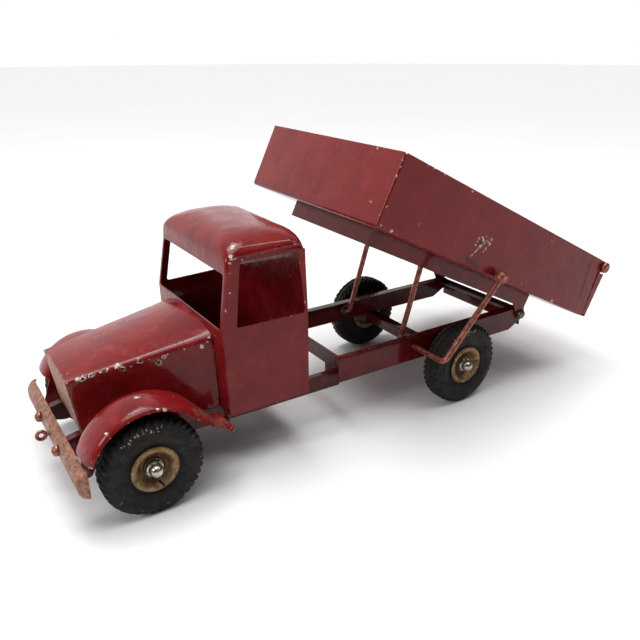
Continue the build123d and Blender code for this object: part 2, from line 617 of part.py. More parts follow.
# ---- lever ----
def lift_rod():
    """One bent rod: stub, lift loop, cross shaft and handle."""
    lean = math.radians(ARM_LEAN)
    bx = LEVER_X - ARM_L * math.sin(lean)
    bz = LEVER_Z + ARM_L * math.cos(lean)
    ha = math.radians(HANDLE_LEAN)
    hx = LEVER_X - HANDLE_L * math.sin(ha)
    hz = LEVER_Z + HANDLE_L * math.cos(ha)
    pts = [(LEVER_X, -57.5, LEVER_Z), (LEVER_X, ARM_RIGHT, LEVER_Z), (bx, ARM_RIGHT, bz), (bx, ARM_LEFT, bz)]
    pts += [(LEVER_X, ARM_LEFT, LEVER_Z), (LEVER_X, HANDLE_Y, LEVER_Z), (hx, HANDLE_Y + 4.5, hz)]
    return bent_rod(pts, LEVER_R, 5.0)


def lever_knob():
    """Flattened ball pressed on the handle, turned about the truck's cross axis."""
    ha = math.radians(HANDLE_LEAN)
    hx = LEVER_X - HANDLE_L * math.sin(ha)
    hz = LEVER_Z + HANDLE_L * math.cos(ha)
    flat = 4.6
    rim = math.sqrt(KNOB_R ** 2 - flat ** 2)
    outline = Polyline((0, flat), (0, -flat), (rim, -flat)) + ThreePointArc((rim, -flat), (KNOB_R, 0), (rim, flat))
    outline += Line((rim, flat), (0, flat))
    ball = revolve(make_face(outline), Axis.Y, 360)
    knob = Pos(hx, HANDLE_Y + 4.5, hz) * ball
    socket = rod_between((hx + 12 * math.sin(ha), HANDLE_Y + 3.83, hz - 12 * math.cos(ha)),
                         (hx - 0.2 * math.sin(ha), HANDLE_Y + 4.51, hz + 0.2 * math.cos(ha)), LEVER_R + 0.02)
    return knob - socket


def rod_between(a, b, r):
    """Round bar from point a to point b."""
    va, vb = Vector(*a), Vector(*b)
    plane = Plane(origin=va, z_dir=(vb - va).normalized())
    return extrude(plane * Circle(r), amount=(vb - va).length)


def lever_collars():
    """Pressed collars that keep the lift rod central between the rails."""
    rings = []
    for s in (1, -1):
        ring = [(LEVER_R + 0.05, 46.0), (4.6, 46.0), (4.6, 49.0), (LEVER_R + 0.05, 49.0)]
        rings.append(turned_y(ring, LEVER_X, 0, LEVER_Z, s))
    return Compound(children=rings)


# ---- all nodes ----
def build_nodes():
    left_rail = rail()
    nodes = {
        "front_frame": front_frame(),
        "left_rail": left_rail,
        "right_rail": mirrored(left_rail),
        "front_cross_member": front_cross_member(),
        "rear_cross_member": rear_cross_member(),
        "rear_axle_housing": rear_axle_housing(),
        "front_axle_brackets": axle_bracket(0.0, 43.7, FRAME_TOP - RAIL_T - 0.1),
        "front_axle": axle(0.0),
        "rear_axle": axle(-WHEELBASE),
        "axle_caps": axle_caps(),
        "axle_collars": axle_collars(),
        "hinge_rod": hinge_rod(),
        "bumper": bumper(),
        "bumper_bolts": bumper_bolts(),
        "bumper_nuts": bumper_nuts(),
        "tow_eye": tow_eye(),
        "hood": hood(),
        "grille_panel": grille_panel(),
        "cab_shell": cab_shell(),
        "cab_back": cab_back(),
        "left_fender": fender(*LEFT_FENDER),
        "right_fender": mirrored(fender(*RIGHT_FENDER)),
        "left_step_bracket": step_bracket(0.0),
        "right_step_bracket": mirrored(step_bracket(4.4)),
        "bed_tray": fold_up(bed_tray()),
        "bed_subframe": fold_up(bed_subframe()),
        "bed_saddle": fold_up(bed_saddle()),
        "gate_rod": fold_up(gate_rod()),
        "tailgate": fold_up(tailgate()),
        "lift_rod": lift_rod(),
        "lever_knob": lever_knob(),
        "lever_collars": lever_collars(),
    }
    for name, x, s in (("front_left", 0.0, 1), ("front_right", 0.0, -1),
                       ("rear_left", -WHEELBASE, 1), ("rear_right", -WHEELBASE, -1)):
        nodes["tyre_" + name] = tyre(x, s)
        nodes["hub_outer_" + name] = hub_outer(x, s)
        nodes["hub_inner_" + name] = hub_inner(x, s)
    return nodes


def main():
    os.makedirs("parts", exist_ok=True)
    shift = Pos(-CENTRE_X, -CENTRE_Y, 0)
    for name, part in build_nodes().items():
        placed = shift * part
        export_step(placed, "parts/" + name + ".step")
        size = placed.bounding_box()
        print(name, len(placed.solids()), [round(v, 2) for v in (size.min.X, size.max.X, size.min.Y,
                                                                 size.max.Y, size.min.Z, size.max.Z)])


main()
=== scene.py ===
import math
import random

import bpy
from mathutils import Matrix, Vector


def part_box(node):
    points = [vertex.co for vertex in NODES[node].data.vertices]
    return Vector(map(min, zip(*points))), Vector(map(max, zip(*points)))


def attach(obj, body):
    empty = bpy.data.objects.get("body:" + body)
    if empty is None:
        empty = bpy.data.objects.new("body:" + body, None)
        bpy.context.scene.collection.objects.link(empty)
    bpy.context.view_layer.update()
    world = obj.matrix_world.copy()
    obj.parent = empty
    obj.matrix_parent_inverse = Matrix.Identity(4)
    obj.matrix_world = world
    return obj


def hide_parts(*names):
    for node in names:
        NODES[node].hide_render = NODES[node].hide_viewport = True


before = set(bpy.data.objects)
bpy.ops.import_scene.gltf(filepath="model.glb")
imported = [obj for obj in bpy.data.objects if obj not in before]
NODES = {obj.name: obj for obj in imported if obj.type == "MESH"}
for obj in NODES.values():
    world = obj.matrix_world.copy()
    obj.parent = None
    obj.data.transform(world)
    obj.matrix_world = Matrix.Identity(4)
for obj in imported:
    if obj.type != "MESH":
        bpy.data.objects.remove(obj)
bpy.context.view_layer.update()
MM = 0.001

# Measures below are in millimetres in the frame's own axes (+X front, +Y the side with the lever),
# with the bed raised as in the rest pose. Only light, floor and camera places are in metres.
WELD_REACH = 0.000002  # metres
PANEL_FOLD = math.radians(27)
TYRE_FOLD = math.radians(38)
BEVEL_SAMPLES = 4
OCCLUSION_SAMPLES = 6


# ---------------------------------------------------------------- node helper
class Graph:
    """A material's node tree with short calls. Numbers and sockets both work as inputs."""

    def __init__(self, name):
        self.mat = bpy.data.materials.new(name)
        self.mat.use_nodes = True
        self.tree = self.mat.node_tree
        self.bsdf = self.tree.nodes["Principled BSDF"]
        coords = self.tree.nodes.new("ShaderNodeTexCoord").outputs["Object"]
        self.pos = self.vec("SCALE", coords, scale=1.0 / MM)

    def feed(self, socket, value):
        if isinstance(value, bpy.types.NodeSocket):
            self.tree.links.new(value, socket)
        elif isinstance(value, (tuple, list, Vector)):
            value = tuple(value)
            needs_alpha = socket.type == "RGBA" and len(value) == 3
            socket.default_value = value + (1.0,) if needs_alpha else value
        else:
            socket.default_value = value

    def vec(self, op, a, b=None, scale=None):
        n = self.tree.nodes.new("ShaderNodeVectorMath")
        n.operation = op
        self.feed(n.inputs[0], a)
        if b is not None:
            self.feed(n.inputs[1], b)
        if scale is not None:
            self.feed(n.inputs["Scale"], scale)
        return n.outputs["Value" if op in ("DISTANCE", "DOT_PRODUCT") else "Vector"]

    def math(self, op, a, b=0.0, clamp=False):
        n = self.tree.nodes.new("ShaderNodeMath")
        n.operation = op
        n.use_clamp = clamp
        self.feed(n.inputs[0], a)
        self.feed(n.inputs[1], b)
        return n.outputs[0]

    def times(self, a, b):
        return self.math("MULTIPLY", a, b)

    def plus(self, a, b):
        return self.math("ADD", a, b)

    def step(self, value, low, high, to=(0.0, 1.0)):
        """Smooth ramp of value from low to high, remapped to the range to."""
        n = self.tree.nodes.new("ShaderNodeMapRange")
        n.interpolation_type = "SMOOTHSTEP"
        for socket, v in zip(n.inputs, (value, low, high) + tuple(to)):
            self.feed(socket, v)
        return n.outputs[0]

    def noise(self, size, detail=3.0, rough=0.55, at=None, shift=0.0, vector=False):
        """Noise whose blotches are about size millimetres across."""
        at = self.pos if at is None else at
        if shift:
            at = self.vec("ADD", at, (shift, shift * 1.7, -shift))
        n = self.tree.nodes.new("ShaderNodeTexNoise")
        self.feed(n.inputs["Vector"], at)
        n.inputs["Scale"].default_value = 1.0 / size
        n.inputs["Detail"].default_value = detail
        n.inputs["Roughness"].default_value = rough
        return n.outputs["Color" if vector else "Fac"]

    def mix(self, fac, a, b):
        n = self.tree.nodes.new("ShaderNodeMix")
        n.data_type = "RGBA"
        self.feed(n.inputs[0], fac)
        self.feed(n.inputs[6], a)
        self.feed(n.inputs[7], b)
        return n.outputs[2]

    def edge(self, radius, low, high):
        """1 within about radius millimetres of a sharp edge, 0 on open faces."""
        n = self.tree.nodes.new("ShaderNodeBevel")
        n.samples = BEVEL_SAMPLES
        n.inputs["Radius"].default_value = radius * MM
        geo = self.tree.nodes.new("ShaderNodeNewGeometry")
        dot = self.vec("DOT_PRODUCT", n.outputs[0], geo.outputs["Normal"])
        return self.step(dot, high, low)

    def crevice(self, reach):
        """1 deep in a corner or under a piece, 0 in the open."""
        n = self.tree.nodes.new("ShaderNodeAmbientOcclusion")
        n.samples = OCCLUSION_SAMPLES
        n.inputs["Distance"].default_value = reach * MM
        return self.step(n.outputs["AO"], 0.75, 0.25)

    def bump(self, height, depth, normal=None):
        n = self.tree.nodes.new("ShaderNodeBump")
        n.inputs["Strength"].default_value = 1.0
        n.inputs["Distance"].default_value = depth * MM
        self.feed(n.inputs["Height"], height)
        if normal is not None:
            self.feed(n.inputs["Normal"], normal)
        return n.outputs[0]

    def soft_edges(self, radius):
        """A normal that rounds sharp edges off over radius millimetres."""
        n = self.tree.nodes.new("ShaderNodeBevel")
        n.samples = BEVEL_SAMPLES
        n.inputs["Radius"].default_value = radius * MM
        return n.outputs[0]

    def spots(self, places, at):
        """Smallest distance to any place (x, y, z, radius) as a share of its radius."""
        best = None
        for x, y, z, r in places:
            d = self.math("DIVIDE", self.vec("DISTANCE", at, (x, y, z)), r)
            best = d if best is None else self.math("MINIMUM", best, d)
        return best

    def rings(self, places, at):
        """Smallest distance to any ring (x, y, z, radius, width) as a share of its width."""
        best = None
        for x, y, z, r, w in places:
            d = self.math("SUBTRACT", self.vec("DISTANCE", at, (x, y, z)), r)
            d = self.math("DIVIDE", self.math("ABSOLUTE", d), w)
            best = d if best is None else self.math("MINIMUM", best, d)
        return best

    def wobbly(self, size, detail, rough, reach, shift):
        """The position pushed about by noise, so that a listed spot gets a ragged outline."""
        n = self.noise(size, detail, rough, shift=shift, vector=True)
        n = self.vec("SUBTRACT", n, (0.5, 0.5, 0.5))
        return self.vec("ADD", self.pos, self.vec("SCALE", n, scale=reach))

    def finish(self, colour, roughness, metallic, normal, specular=0.5, coat=0.0, coat_roughness=0.1):
        self.feed(self.bsdf.inputs["Base Color"], colour)
        self.feed(self.bsdf.inputs["Roughness"], roughness)
        self.feed(self.bsdf.inputs["Metallic"], metallic)
        self.feed(self.bsdf.inputs["Normal"], normal)
        self.bsdf.inputs["Specular IOR Level"].default_value = specular
        self.bsdf.inputs["Coat Weight"].default_value = coat
        self.bsdf.inputs["Coat Roughness"].default_value = coat_roughness
        return self.mat


def trail(a, b, r, count):
    """A row of spots (x, y, z, radius) from point a to point b, for a scratch or a run."""
    out = []
    for k in range(count):
        t = k / (count - 1)
        place = tuple(a[i] + (b[i] - a[i]) * t for i in range(3))
        uneven = 0.75 + 0.5 * ((k * 7) % 5) / 4
        out.append(place + (r * uneven,))
    return out


# ---------------------------------------------------------------- materials
ENAMEL_SPECULAR, ENAMEL_COAT, ENAMEL_COAT_ROUGHNESS = 0.08, 0.36, 0.06
HAZE_PINK = (0.33, 0.045, 0.042)
PIT_RED = (0.035, 0.004, 0.005)
SCRATCH_PINK = (0.33, 0.12, 0.10)
DUST = (0.42, 0.26, 0.23)
# near-black colour of the painted shade in crevices
CREVICE_SHADE = (0.018, 0.006, 0.005)
# dark red of the paint runs and of the painted dark reflection on the bed
RUN_AND_SHADE_RED = (0.045, 0.003, 0.004)
WORN_BROWN = (0.15, 0.072, 0.055)
PRIMER_TAN, PRIMER_WHITE, PRIMER_OLD = (0.36, 0.25, 0.20), (0.78, 0.72, 0.68), (0.16, 0.06, 0.045)
PIT_BLACK = (0.022, 0.010, 0.009)


def paint(name, white=(), dark=(), rings=(), runs_and_shade=(), rust=(), chips=0.5, scuff=0.3, seed=0.0,
          red=(0.180, 0.0070, 0.0080), deep=(0.128, 0.0045, 0.0055)):
    """Old brush-thick red enamel: mottled colour, haze, scratches, edge chips and the listed chips."""
    g = Graph(name)
    at = g.wobbly(1.5, 4.0, 0.7, 4.6, seed)
    stretched = g.vec("MULTIPLY", g.pos, (0.22, 1.0, 0.5))

    # the enamel's own colour
    tone = g.step(g.noise(26.0, 4.0, 0.6, shift=seed), 0.32, 0.68)
    colour = g.mix(tone, deep, red)
    blotch = g.step(g.noise(9.0, 5.0, 0.65, shift=seed + 31), 0.52, 0.74)
    colour = g.mix(g.times(blotch, 0.35), colour, deep)
    pits = g.step(g.noise(1.0, 3.0, 0.6, shift=seed + 91), 0.70, 0.76)
    colour = g.mix(g.times(pits, 0.6), colour, PIT_RED)
    haze = g.step(g.noise(17.0, 5.0, 0.7, shift=seed + 57), 0.50, 0.78)
    haze = g.times(haze, scuff)
    colour = g.mix(haze, colour, HAZE_PINK)

    # fine scratches along the truck, dust, and painted shade in the crevices
    hair = g.step(g.noise(1.1, 2.0, 0.5, at=stretched, shift=seed + 11), 0.68, 0.75)
    patch = g.step(g.noise(22.0, 2.0, 0.5, shift=seed + 83), 0.53, 0.66)
    hair = g.times(hair, patch)
    colour = g.mix(g.times(hair, 0.35), colour, SCRATCH_PINK)
    dust = g.step(g.noise(0.7, 2.0, 0.6, shift=seed + 5), 0.72, 0.80)
    colour = g.mix(g.times(dust, 0.20), colour, DUST)
    # painted shade: a near-black colour darkened into crevices and under pieces, in patches
    shade_patchiness = g.step(g.noise(5.0, 3.0, shift=seed + 3), 0.25, 0.6, (0.25, 0.6))
    colour = g.mix(g.times(g.crevice(5.0), shade_patchiness), colour, CREVICE_SHADE)

    # listed runs of thick paint (on the bed also a painted dark reflection along a side's rear edge) and worn
    # brown patches
    run = None
    if runs_and_shade:
        # mask of the listed runs of paint and, on the bed, of a band of painted dark reflection
        run = g.step(g.spots(runs_and_shade, at), 1.05, 0.75)
        colour = g.mix(g.times(run, 0.85), colour, RUN_AND_SHADE_RED)
    if rust:
        speckle = g.step(g.noise(1.4, 4.0, 0.7, shift=seed), 0.38, 0.58)
        worn_to = g.times(g.step(g.spots(rust, at), 1.2, 0.5), speckle)
        colour = g.mix(g.times(worn_to, 0.85), colour, WORN_BROWN)

    # chips down to the primer, along sharp edges and where listed
    rim = g.edge(1.25, 0.80, 0.985)
    broken = g.noise(2.6, 4.0, 0.75, shift=seed + 17)
    broken = g.step(broken, 0.62 - 0.06 * chips, 0.655 - 0.06 * chips)
    zone = g.step(g.noise(13.0, 2.0, 0.5, shift=seed + 71), 0.47 - 0.1 * chips, 0.58 - 0.1 * chips)
    bare = g.times(g.times(g.step(rim, 0.25, 0.5), broken), zone)
    if white:
        bare = g.math("MAXIMUM", bare, g.step(g.spots(white, at), 1.05, 0.85))
    if rings:
        bare = g.math("MAXIMUM", bare, g.step(g.rings(rings, at), 1.15, 0.75))
    primer = g.mix(g.step(g.noise(0.9, 2.0, shift=seed + 23), 0.35, 0.65), PRIMER_TAN, PRIMER_WHITE)
    old = g.step(g.noise(3.5, 2.0, shift=seed + 29), 0.52, 0.62)
    off_rim = g.math("SUBTRACT", 1.0, g.step(rim, 0.0, 0.1))
    primer = g.mix(g.times(old, off_rim), primer, PRIMER_OLD)
    colour = g.mix(bare, colour, primer)
    loss = bare
    if dark:
        pit = g.step(g.spots(dark, at), 1.05, 0.8)
        colour = g.mix(pit, colour, PIT_BLACK)
        loss = g.math("MAXIMUM", bare, pit)

    rough = g.step(g.noise(14.0, 4.0, 0.6, shift=seed + 13), 0.3, 0.7, (0.16, 0.34))
    rough = g.plus(rough, g.times(haze, 0.25))
    rough = g.math("ADD", rough, g.times(loss, 0.4), clamp=True)

    # relief: orange peel, shallow waves, lumps, scratches, pits and lost paint
    peel = g.times(g.noise(2.2, 2.0, 0.5, shift=seed + 7), 0.15)
    waves = g.noise(15.0, 2.0, 0.4, shift=seed + 19)
    lumps = g.times(g.step(g.noise(4.0, 3.0, 0.6, shift=seed + 37), 0.58, 0.72), 0.30)
    height = g.plus(g.plus(peel, waves), lumps)
    height = g.plus(height, g.times(g.noise(5.5, 3.0, 0.5, at=stretched, shift=seed), 0.24))
    height = g.math("SUBTRACT", height, g.times(pits, 0.12))
    height = g.math("SUBTRACT", height, g.times(loss, 0.22))
    if run is not None:
        height = g.plus(height, g.times(run, 0.35))
    normal = g.bump(height, 0.75, g.soft_edges(1.1))
    return g.finish(colour, rough, 0.0, normal, ENAMEL_SPECULAR, ENAMEL_COAT, ENAMEL_COAT_ROUGHNESS)


# near-black colour of the painted shade on metal
METAL_SHADE = (0.012, 0.009, 0.008)
RUB_LIFT = 1.35


def metal(name, light, dull, stain, rust, rough, metallic, seed, stained, rusty, edge, shade=3.0, slits=()):
    """Plated or bare metal gone patchy: tarnish, dark specks, rust blooms and rubbed edges."""
    g = Graph(name)
    tone = g.step(g.noise(4.5, 5.0, 0.65, shift=seed), 0.35, 0.65)
    colour = g.mix(tone, dull, light)
    mark = g.noise(2.2, 4.0, 0.7, shift=seed + 9)
    mark = g.step(mark, 0.62 - 0.16 * stained, 0.72 - 0.1 * stained)
    colour = g.mix(g.times(mark, 0.85), colour, stain)
    bloom = g.step(g.noise(6.5, 4.0, 0.7, shift=seed + 21), 0.66 - 0.22 * rusty, 0.76 - 0.2 * rusty)
    speck = g.step(g.noise(0.8, 2.0, 0.5, shift=seed + 33), 0.63, 0.70)
    rusted = g.math("MAXIMUM", bloom, g.times(speck, 0.6 * (0.3 + rusty)))
    colour = g.mix(rusted, colour, rust)
    rub = g.times(g.step(g.edge(0.9, 0.82, 0.985), 0.3, 0.7),
                  g.step(g.noise(3.0, 3.0, shift=seed + 2), 0.4, 0.6))
    colour = g.mix(g.times(rub, edge), colour, tuple(min(1.0, RUB_LIFT * v) for v in light))
    # painted shade: darker in crevices, and a dark line along the listed slits
    painted_shade = g.times(g.crevice(shade), 0.85)
    if slits:
        painted_shade = g.math("MAXIMUM", painted_shade, g.step(g.spots(slits, g.pos), 1.1, 0.8))
    colour = g.mix(painted_shade, colour, METAL_SHADE)
    shine = g.math("SUBTRACT", metallic, g.times(rusted, 0.75 * metallic))
    shine = g.times(shine, g.math("SUBTRACT", 1.0, g.times(mark, 0.4)))
    gloss = g.step(g.noise(3.2, 4.0, 0.6, shift=seed + 4), 0.3, 0.7, rough)
    gloss = g.math("ADD", gloss, g.times(g.math("MAXIMUM", rusted, mark), 0.25), clamp=True)
    height = g.plus(g.times(rusted, 0.35), g.times(g.noise(1.1, 3.0, shift=seed), 0.4))
    height = g.plus(height, g.times(g.noise(7.0, 2.0, shift=seed), 0.8))
    return g.finish(colour, gloss, shine, g.bump(height, 0.28, g.soft_edges(0.4)))


RUBBER_DARK, RUBBER_LIGHT = (0.0060, 0.0052, 0.0048), (0.0145, 0.0115, 0.0100)
RUBBER_BLOOM, RUBBER_DUST = (0.044, 0.033, 0.025), (0.075, 0.06, 0.048)
RUBBER_SPECK, RUBBER_SCUFF = (0.14, 0.12, 0.10), (0.36, 0.32, 0.28)
MOULD_RING_PITCH = 4.6
RUBBER_SPECULAR = 0.22


def rubber(name, centre, seed, scuffs):
    """Old moulded tyre rubber: dusty grooves, brown bloom and pale scuffs on the shoulder."""
    g = Graph(name)
    tone = g.step(g.noise(7.0, 4.0, 0.65, shift=seed), 0.3, 0.7)
    colour = g.mix(tone, RUBBER_DARK, RUBBER_LIGHT)
    bloom = g.step(g.noise(3.4, 4.0, 0.7, shift=seed + 8), 0.54, 0.72)
    colour = g.mix(g.times(bloom, 0.5), colour, RUBBER_BLOOM)
    dust = g.times(g.crevice(2.5), g.step(g.noise(2.0, 3.0, shift=seed + 4), 0.4, 0.65))
    colour = g.mix(g.times(dust, 0.35), colour, RUBBER_DUST)
    speck = g.step(g.noise(0.75, 2.0, 0.6, shift=seed + 12), 0.70, 0.76)
    colour = g.mix(g.times(speck, 0.5), colour, RUBBER_SPECK)
    at = g.wobbly(1.1, 2.0, 0.55, 1.6, seed)
    pale = g.step(g.spots(scuffs, at), 1.05, 0.7)
    pale = g.times(pale, g.step(g.noise(0.9, 2.0, shift=seed + 2), 0.42, 0.55))
    colour = g.mix(pale, colour, RUBBER_SCUFF)
    flat = g.vec("MULTIPLY", g.pos, (1.0, 0.0, 1.0))
    ring = g.vec("DISTANCE", flat, (centre[0], 0.0, centre[2]))
    moulded = g.math("SINE", g.times(ring, MOULD_RING_PITCH))
    height = g.plus(g.times(g.noise(0.8, 3.0, shift=seed), 0.5), g.times(moulded, 0.10))
    height = g.plus(height, g.times(g.noise(6.0, 2.0, shift=seed + 6), 0.6))
    rough = g.step(g.noise(5.0, 4.0, shift=seed + 1), 0.3, 0.7, (0.50, 0.78))
    return g.finish(colour, rough, 0.0, g.bump(height, 0.25), RUBBER_SPECULAR)


# Marks placed after the photograph: _WHITE chips to the primer, _DARK pits, _RINGS chips with paint
# left in the middle as (x, y, z, radius, width), the bed's runs (runs of paint, and one band of painted dark
# reflection) and _RUST worn patches. All others are (x, y, z, radius). Their centres are meant to lie on the
# surface.
HOOD_RINGS = [(215.0, 28.0, 87.9, 1.5, 0.36), (209.5, 28.5, 88.9, 1.3, 0.33),
              (177.9, 32.9, 92.8, 1.7, 0.34), (189.7, 31.7, 89.6, 1.7, 0.32),
              (166.2, 35.0, 89.1, 1.8, 0.28), (162.2, 35.4, 92.6, 1.2, 0.30)]
HOOD_WHITE = [(224.1, 26.6, 87.0, 0.9), (217.9, 27.2, 88.1, 1.5), (203.2, 29.2, 90.0, 0.9),
              (199.1, 29.6, 90.6, 1.1), (191.6, 30.1, 92.2, 2.1), (193.6, 30.0, 91.4, 1.2),
              (183.9, 32.5, 90.0, 0.8), (159.6, 35.7, 94.1, 0.7), (136.1, 39.0, 94.4, 1.5),
              (132.0, 39.3, 97.2, 1.1), (130.1, 38.5, 100.1, 1.0), (213.0, 28.2, 88.4, 0.8),
              (207.0, 28.8, 89.4, 0.7), (172.0, 34.0, 92.6, 0.7), (148.0, 37.4, 95.4, 0.6),
              (221.8, 18.2, 89.2, 0.7)]
HOOD_DARK = [(189.7, 31.7, 89.4, 1.3), (166.2, 35.0, 89.1, 1.4), (215.0, 28.0, 87.9, 0.9),
             (209.5, 28.5, 88.9, 0.8), (177.9, 32.9, 92.8, 0.7), (166.9, -6.8, 101.1, 0.8),
             (196.5, -14.0, 95.2, 1.0), (191.0, -12.0, 95.9, 0.8), (203.0, 29.9, 78.9, 0.7),
             (200.3, 30.4, 77.2, 0.6)]
HOOD_DARK += trail((221, 27.0, 86.9), (178, 33.2, 91.2), 0.55, 16)
CAB_WHITE = [(112.4, 47.6, 164.8, 1.3), (113.6, 48.8, 163.8, 1.0), (116.4, 52.4, 160.0, 1.5),
             (116.4, 53.5, 157.9, 1.0), (117.8, 53.7, 155.7, 1.0), (114.6, 54.4, 158.3, 0.8),
             (118.9, 53.9, 149.4, 0.6), (123.7, 55.4, 124.3, 0.8), (119.7, 54.8, 135.5, 0.6),
             (109.1, 53.6, 156.7, 0.7), (105.1, 54.5, 157.9, 0.6), (83.2, 53.2, 159.7, 0.5),
             (62.7, 54.9, 159.3, 0.8), (62.2, 53.8, 153.4, 0.7), (62.5, 56.1, 117.6, 0.7)]
CAB_DARK = trail((98, -34, 170.6), (90, -30, 171.2), 0.6, 8) + trail((92, -12, 171.1), (86, -5, 171.2), 0.7, 7)
CAB_DARK += [(102.0, 27.1, 170.9, 0.8), (121.1, -6.4, 154.1, 0.8), (112.0, 12.0, 165.5, 0.6)]
FENDER_WHITE = [(190.9, 60.4, 82.0, 1.35), (189.3, 60.9, 82.0, 1.2), (168.0, 62.6, 76.7, 0.9),
                (182.7, 76.5, 78.9, 1.7), (184.6, 76.4, 79.4, 1.0), (181.0, 76.5, 78.4, 0.9),
                (178.8, 76.6, 77.2, 1.5), (176.8, 76.6, 76.6, 0.7), (198.1, 74.4, 77.7, 0.8),
                (201.0, 74.2, 76.9, 0.6), (214.9, 73.8, 70.4, 1.1), (228.5, 75.8, 51.0, 1.9),
                (227.5, 76.0, 55.5, 1.2)]
FENDER_RUST = [(156, 72, 67, 4.4), (150, 68, 61, 6.0), (145, 66, 55.5, 7.2), (141, 70, 51.5, 7.2),
               (137, 66, 49.3, 6.0)]
FENDER_DARK = trail((146, 63, 56.6), (140, 71, 50.8), 0.8, 8)
BED_WHITE = [(17.5, 70.8, 186.3, 0.9), (1.2, 55.2, 219.4, 0.8), (3.0, 84.7, 215.4, 0.7),
             (4.7, 85.1, 211.3, 0.6), (7.6, 85.1, 205.3, 0.8), (20.4, 84.3, 180.5, 0.7),
             (15.1, 85.6, 185.8, 0.8), (19.4, 85.6, 173.4, 0.8), (-13.6, 85.6, 169.3, 1.0),
             (10.2, 85.6, 168.0, 1.2), (-19.2, 85.6, 209.6, 0.7), (-25.4, 85.6, 207.0, 0.7),
             (-64.0, 85.6, 186.6, 0.9), (-46.4, 85.6, 196.4, 0.8), (-35.5, 85.6, 202.2, 0.8),
             (-89.2, 85.6, 146.6, 1.4), (-83.5, 85.6, 140.2, 1.1), (-81.4, 85.6, 138.4, 0.8),
             (-172.4, 85.6, 77.5, 1.5), (-130.3, 85.6, 101.5, 0.8), (-75.2, 85.6, 149.4, 1.0),
             (-72.5, 85.6, 144.4, 0.9), (-79.5, 85.6, 149.0, 0.9)]
BED_WHITE += trail((-66.5, 85.6, 136.0), (-84, 85.6, 146.2), 0.75, 11)
BED_WHITE += trail((-159, 85.6, 135.2), (-167, 85.6, 131.2), 0.45, 7)
BED_WHITE += [(-80.2, 85.6, 147.6, 1.3), (-78.9, 85.6, 149.8, 0.8), (-74.0, 85.6, 147.2, 1.0),
              (-77.0, 85.6, 143.2, 0.9), (-86.0, 85.6, 144.5, 0.8), (-87.5, 85.6, 143.2, 1.0),
              (-83.0, 85.6, 149.6, 0.7), (-85.0, 85.6, 148.0, 0.6)]
BED_DARK = [(-76.4, 85.6, 146.2, 1.7), (-78.2, 85.6, 145.0, 1.4), (-77.6, 85.6, 147.8, 0.9),
            (-2.7, 85.6, 162.4, 1.0), (-70.0, 85.6, 139.0, 0.8)]
BED_DARK += trail((13, 29, 195.4), (8.5, 35, 204.6), 0.5, 6)
BED_RUNS_AND_EDGE_SHADE = trail((-64, 85.6, 135.0), (-76, 85.6, 126.8), 2.1, 7)
# painted dark reflection: a band down the rear edge of the bed side, not a run of paint
BED_RUNS_AND_EDGE_SHADE += trail((-219, 85.6, 104), (-212, 85.6, 74), 2.4, 12)

# The hub's slit, painted in the brass material as a dark line of shade.
HUB_SLIT = trail((186.5, 72.8, 24.4), (185.5, 74.4, 23.4), 0.85, 4)
HUB_SLIT += trail((185.5, 74.4, 23.4), (183.8, 75.7, 20.7), 0.85, 6)

RED_HOOD = paint("red_enamel_hood", HOOD_WHITE, HOOD_DARK, HOOD_RINGS, chips=0.75, scuff=0.55, seed=3.0)
RED_CAB = paint("red_enamel_cab", CAB_WHITE, CAB_DARK, chips=0.45, scuff=0.25, seed=14.0)
RED_FENDER = paint("red_enamel_fender", FENDER_WHITE, FENDER_DARK, rust=FENDER_RUST,
                   chips=1.0, scuff=0.45, seed=25.0)
RED_FENDER_FAR = paint("red_enamel_fender_far", chips=1.0, scuff=0.45, seed=38.0)
RED_BED = paint("red_enamel_bed", BED_WHITE, BED_DARK, runs_and_shade=BED_RUNS_AND_EDGE_SHADE, chips=0.95, scuff=0.16, seed=47.0,
                red=(0.178, 0.0074, 0.0078), deep=(0.138, 0.0050, 0.0055))
# Painted shade: darker copies of the same red enamel for the frame and the parts under the body.
RED_FRAME_SHADED = paint("red_enamel_frame_shaded", chips=0.45, scuff=0.15, seed=66.0,
                  red=(0.120, 0.0056, 0.0062), deep=(0.062, 0.0032, 0.0038))
RED_UNDER_SHADED = paint("red_enamel_underbody_shaded", chips=0.3, scuff=0.2, seed=79.0,
                  red=(0.090, 0.0055, 0.0060), deep=(0.050, 0.0030, 0.0034))
COPPER_BAR = metal("worn_copper_bumper", light=(0.36, 0.165, 0.105), dull=(0.20, 0.085, 0.055),
                   stain=(0.055, 0.024, 0.018), rust=(0.13, 0.045, 0.028), rough=(0.36, 0.6), metallic=0.6,
                   seed=5.0, stained=0.6, rusty=0.6, edge=0.6)
COPPER_ROD = metal("worn_copper_rod", light=(0.36, 0.125, 0.080), dull=(0.19, 0.052, 0.036),
                   stain=(0.05, 0.017, 0.014), rust=(0.12, 0.036, 0.024), rough=(0.20, 0.40), metallic=0.7,
                   seed=15.0, stained=0.5, rusty=0.3, edge=0.6)
BRASS_DISC = metal("tarnished_brass", light=(0.30, 0.19, 0.09), dull=(0.155, 0.092, 0.043),
                   stain=(0.04, 0.022, 0.011), rust=(0.09, 0.042, 0.02), rough=(0.34, 0.58), metallic=0.7,
                   seed=28.0, stained=0.65, rusty=0.5, edge=0.7, shade=6.5, slits=HUB_SLIT)
NICKEL_CAP = metal("nickel_plate", light=(0.56, 0.53, 0.47), dull=(0.36, 0.33, 0.28),
                   stain=(0.11, 0.09, 0.07), rust=(0.14, 0.09, 0.055), rough=(0.16, 0.34), metallic=1.0,
                   seed=39.0, stained=0.35, rusty=0.12, edge=0.3)
